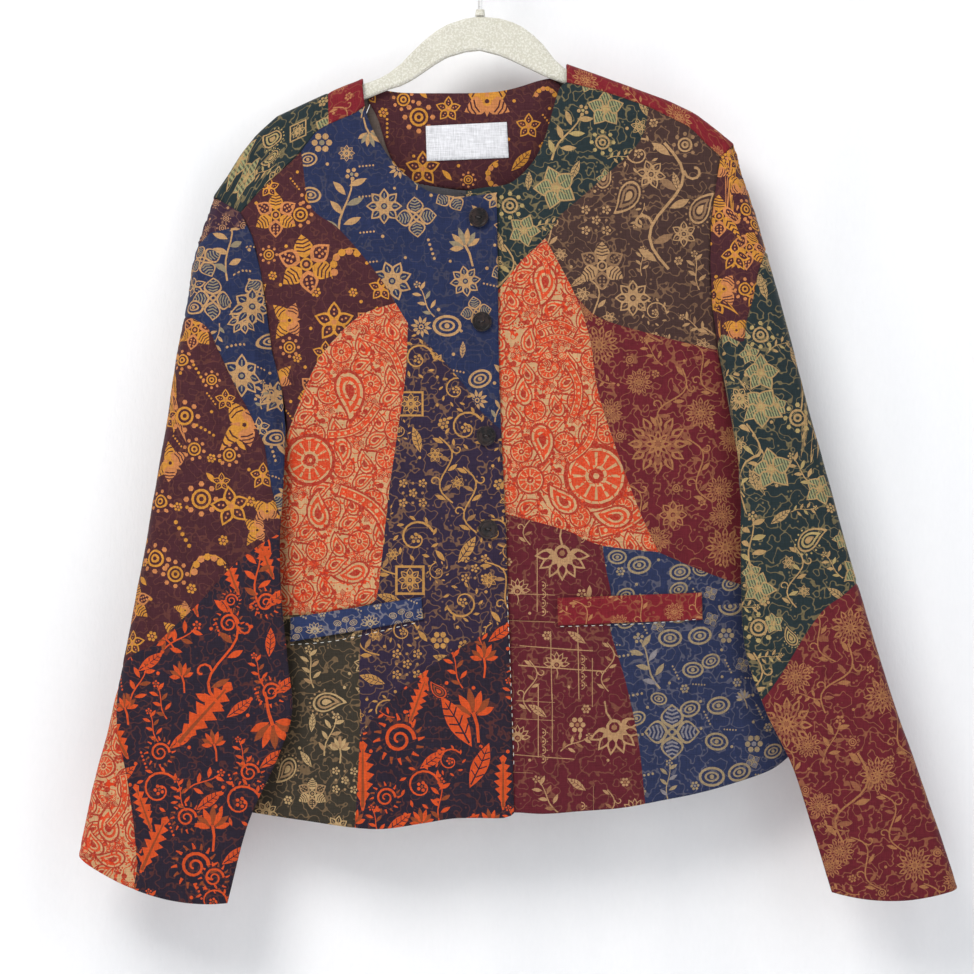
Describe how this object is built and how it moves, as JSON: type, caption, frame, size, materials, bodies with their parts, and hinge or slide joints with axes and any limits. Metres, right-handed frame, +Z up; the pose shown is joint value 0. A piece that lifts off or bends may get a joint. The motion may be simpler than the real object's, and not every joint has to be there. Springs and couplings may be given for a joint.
{
  "type": "patchwork jacket on a hanger",
  "caption": "Collarless buttoned long-sleeved jacket pieced from patterned woven cloth, hung flat on a flocked hanger with a wire hook.",
  "frame": {"origin": "inner crest of the hanger's hook, where it bears on a rail", "axes": "+Z up, the jacket hangs down -Z; the front faces -Y; +X to the viewer's right as the jacket is seen from the front"},
  "size_m": [0.7194, 0.0492, 0.8019],
  "materials": {
    "brown_vine": "brown charcoal jacquard with beige vines",
    "burgundy_vine": "burgundy jacquard with fine tan vines",
    "button": "dark brown, glossy",
    "crimson": "crimson cloth with fine vines and flowers",
    "hanger": "cream, speckled and flocked",
    "label": "plain white tape",
    "lining": "plain grey brown lining",
    "maroon_plaid": "maroon cloth with thin beige plaid lines",
    "navy_daisy": "navy jacquard with tan daisies",
    "navy_roundel": "navy cloth with grey tan oval roundels",
    "olive_vine": "charcoal olive jacquard with cream vines",
    "orange_leaf": "dark navy jacquard with orange and rust leaves",
    "plum_gold": "dark plum jacquard with gold combed petals",
    "purple_vine": "aubergine jacquard with gold scrolls",
    "red_paisley": "cream cloth covered with red and orange paisley",
    "teal_flower": "dark teal jacquard with pale green and mauve flowers",
    "welt_blue": "navy cloth with grey tan figures",
    "wire": "bright wire"
  },
  "bodies": {
    "root": {"back_body": "navy_daisy", "back_lining": "lining", "button_1": "button", "button_2": "button", "button_3": "button", "button_4": "button", "front_left_navy_daisy": "navy_daisy", "front_left_olive_vine": "olive_vine", "front_left_orange_leaf": "orange_leaf", "front_left_plum_gold": "plum_gold", "front_left_purple_vine": "purple_vine", "front_left_red_paisley": "red_paisley", "front_right_brown_vine": "brown_vine", "front_right_burgundy_vine": "burgundy_vine", "front_right_maroon_plaid": "maroon_plaid", "front_right_navy_roundel": "navy_roundel", "front_right_navy_wedge": "navy_roundel", "front_right_red_paisley": "red_paisley", "front_right_teal_flower": "teal_flower", "hanger_body": "hanger", "hook": "wire", "hook_collar": "hanger", "neck_facing": "plum_gold", "neck_label": "label", "sleeve_left_back": "navy_daisy", "sleeve_left_cap": "plum_gold", "sleeve_left_cuff_corner": "red_paisley", "sleeve_left_navy_daisy": "navy_daisy", "sleeve_left_orange_leaf": "orange_leaf", "sleeve_left_plum_gold": "plum_gold", "sleeve_right_back": "burgundy_vine", "sleeve_right_burgundy_vine": "burgundy_vine", "sleeve_right_plum_gold": "plum_gold", "sleeve_right_teal_flower": "teal_flower", "welt_left": "welt_blue", "welt_right": "crimson", "yoke_left_crimson": "crimson", "yoke_left_teal": "teal_flower", "yoke_right_crimson": "crimson"}
  },
  "joints": []
}
